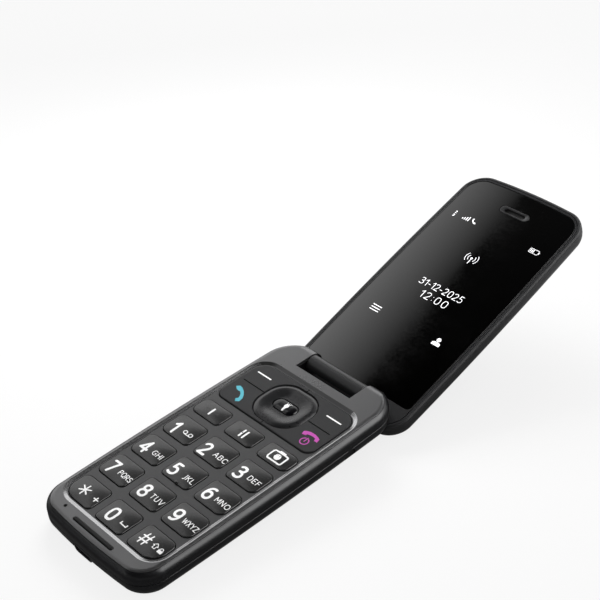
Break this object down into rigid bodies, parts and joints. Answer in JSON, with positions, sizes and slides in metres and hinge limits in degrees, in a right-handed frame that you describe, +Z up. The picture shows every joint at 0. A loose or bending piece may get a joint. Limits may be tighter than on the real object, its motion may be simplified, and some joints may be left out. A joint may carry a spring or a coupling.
{
  "type": "flip phone",
  "caption": "Clamshell mobile phone lying open: keypad half with sunk rubber keys and direction ring, a friction hinge knuckle, and a lid with display, earpiece and rear camera window.",
  "frame": {"origin": "on the table, under the middle of the opened phone's footprint", "axes": "+X to the right across the keypad, +Y from the keypad end towards the hinge and on along the opened lid, +Z up"},
  "size_m": [0.054, 0.2056, 0.047],
  "materials": {
    "fascia": "satin grey",
    "satin_black": "satin black",
    "cover_black": "matte near-black",
    "rubber": "matte",
    "silicone": "matte translucent grey",
    "circuit_board": "solder mask green",
    "steel": "plain",
    "battery_shell": "wrapped cell",
    "speaker_black": "matte black",
    "function_keys": "matte dark grey",
    "nav_ring": "semi-gloss dark grey",
    "key_black": "semi-gloss black",
    "dark_trim": "satin dark grey",
    "knuckle": "satin dark grey",
    "glass_black": "polished, black backed",
    "lcd": "switched on display module",
    "flex_film": "amber film",
    "lens": "polished dark",
    "led": "cream diffuser"
  },
  "bodies": {
    "base": {"front_plate": "fascia", "base_housing": "satin_black", "battery_cover": "satin_black", "rest_bumper": "rubber", "keypad_mat": "silicone", "main_board": "circuit_board", "charging_board": "circuit_board", "microphone": "steel", "battery": "battery_shell", "usb_socket": "steel", "loudspeaker": "speaker_black", "vibration_motor": "steel", "sim_holder": "steel", "hinge_module": "steel", "hinge_pin": "steel", "screw_1": "steel", "screw_2": "steel", "screw_3": "steel", "screw_4": "steel"},
    "lid_half": {"lid_frame": "dark_trim", "lid_cover": "cover_black", "hinge_knuckle": "knuckle", "display_glass": "glass_black", "earpiece_grille": "dark_trim", "receiver": "steel", "lcd_module": "lcd", "lid_board": "circuit_board", "hinge_flex": "flex_film", "camera_window": "glass_black", "window_trim": "dark_trim", "camera_ring": "steel", "flash_ring": "steel", "camera_lens": "lens", "flash_led": "led", "camera_module": "speaker_black"},
    "left_function_key_body": {"left_function_key": "function_keys"},
    "right_function_key_body": {"right_function_key": "function_keys"},
    "nav_pad_body": {"nav_pad": "silicone"},
    "nav_ring_body": {"nav_ring": "nav_ring"},
    "ok_key_body": {"ok_key": "key_black"},
    "memory_key_1_body": {"memory_key_1": "key_black"},
    "memory_key_2_body": {"memory_key_2": "key_black"},
    "camera_key_body": {"camera_key": "key_black"},
    "key_1_body": {"key_1": "key_black"},
    "key_2_body": {"key_2": "key_black"},
    "key_3_body": {"key_3": "key_black"},
    "key_4_body": {"key_4": "key_black"},
    "key_5_body": {"key_5": "key_black"},
    "key_6_body": {"key_6": "key_black"},
    "key_7_body": {"key_7": "key_black"},
    "key_8_body": {"key_8": "key_black"},
    "key_9_body": {"key_9": "key_black"},
    "key_star_body": {"key_star": "key_black"},
    "key_0_body": {"key_0": "key_black"},
    "key_hash_body": {"key_hash": "key_black"}
  },
  "joints": [
    {"name": "lid", "type": "hinge", "parent": "base", "child": "lid_half", "pos_m": [0, 0.00204, 0.01282], "axis": [1, 0, 0], "range_deg": [0, 162.2]},
    {"name": "left_function_key_rock", "type": "hinge", "parent": "base", "child": "left_function_key_body", "pos_m": [0, -0.02185, 0.01422], "axis": [1, 0, 0], "range_deg": [-1.2, 1.2], "stiffness_Nm_per_rad": 0.5},
    {"name": "right_function_key_rock", "type": "hinge", "parent": "base", "child": "right_function_key_body", "pos_m": [0, -0.02185, 0.01422], "axis": [1, 0, 0], "range_deg": [-1.2, 1.2], "stiffness_Nm_per_rad": 0.5},
    {"name": "nav_side_tilt", "type": "hinge", "parent": "base", "child": "nav_pad_body", "pos_m": [0, -0.02185, 0.01422], "axis": [0, 0.997, 0.0778], "range_deg": [-1.2, 1.2], "stiffness_Nm_per_rad": 0.5},
    {"name": "nav_up_down_tilt", "type": "hinge", "parent": "nav_pad_body", "child": "nav_ring_body", "pos_m": [0, -0.02185, 0.01422], "axis": [1, 0, 0], "range_deg": [-1.2, 1.2], "stiffness_Nm_per_rad": 0.5},
    {"name": "ok_key_press", "type": "slide", "parent": "base", "child": "ok_key_body", "axis": [0, 0.0778, -0.997], "range_m": [0, 0.00035], "stiffness_N_per_m": 3000},
    {"name": "memory_key_1_press", "type": "slide", "parent": "base", "child": "memory_key_1_body", "axis": [0, 0.0778, -0.997], "range_m": [0, 0.00035], "stiffness_N_per_m": 3000},
    {"name": "memory_key_2_press", "type": "slide", "parent": "base", "child": "memory_key_2_body", "axis": [0, 0.0778, -0.997], "range_m": [0, 0.00035], "stiffness_N_per_m": 3000},
    {"name": "camera_key_press", "type": "slide", "parent": "base", "child": "camera_key_body", "axis": [0, 0.0778, -0.997], "range_m": [0, 0.00035], "stiffness_N_per_m": 3000},
    {"name": "key_1_press", "type": "slide", "parent": "base", "child": "key_1_body", "axis": [0, 0.0778, -0.997], "range_m": [0, 0.00035], "stiffness_N_per_m": 3000},
    {"name": "key_2_press", "type": "slide", "parent": "base", "child": "key_2_body", "axis": [0, 0.0778, -0.997], "range_m": [0, 0.00035], "stiffness_N_per_m": 3000},
    {"name": "key_3_press", "type": "slide", "parent": "base", "child": "key_3_body", "axis": [0, 0.0778, -0.997], "range_m": [0, 0.00035], "stiffness_N_per_m": 3000},
    {"name": "key_4_press", "type": "slide", "parent": "base", "child": "key_4_body", "axis": [0, 0.0778, -0.997], "range_m": [0, 0.00035], "stiffness_N_per_m": 3000},
    {"name": "key_5_press", "type": "slide", "parent": "base", "child": "key_5_body", "axis": [0, 0.0778, -0.997], "range_m": [0, 0.00035], "stiffness_N_per_m": 3000},
    {"name": "key_6_press", "type": "slide", "parent": "base", "child": "key_6_body", "axis": [0, 0.0778, -0.997], "range_m": [0, 0.00035], "stiffness_N_per_m": 3000},
    {"name": "key_7_press", "type": "slide", "parent": "base", "child": "key_7_body", "axis": [0, 0.0778, -0.997], "range_m": [0, 0.00035], "stiffness_N_per_m": 3000},
    {"name": "key_8_press", "type": "slide", "parent": "base", "child": "key_8_body", "axis": [0, 0.0778, -0.997], "range_m": [0, 0.00035], "stiffness_N_per_m": 3000},
    {"name": "key_9_press", "type": "slide", "parent": "base", "child": "key_9_body", "axis": [0, 0.0778, -0.997], "range_m": [0, 0.00035], "stiffness_N_per_m": 3000},
    {"name": "key_star_press", "type": "slide", "parent": "base", "child": "key_star_body", "axis": [0, 0.0778, -0.997], "range_m": [0, 0.00035], "stiffness_N_per_m": 3000},
    {"name": "key_0_press", "type": "slide", "parent": "base", "child": "key_0_body", "axis": [0, 0.0778, -0.997], "range_m": [0, 0.00035], "stiffness_N_per_m": 3000},
    {"name": "key_hash_press", "type": "slide", "parent": "base", "child": "key_hash_body", "axis": [0, 0.0778, -0.997], "range_m": [0, 0.00035], "stiffness_N_per_m": 3000}
  ]
}
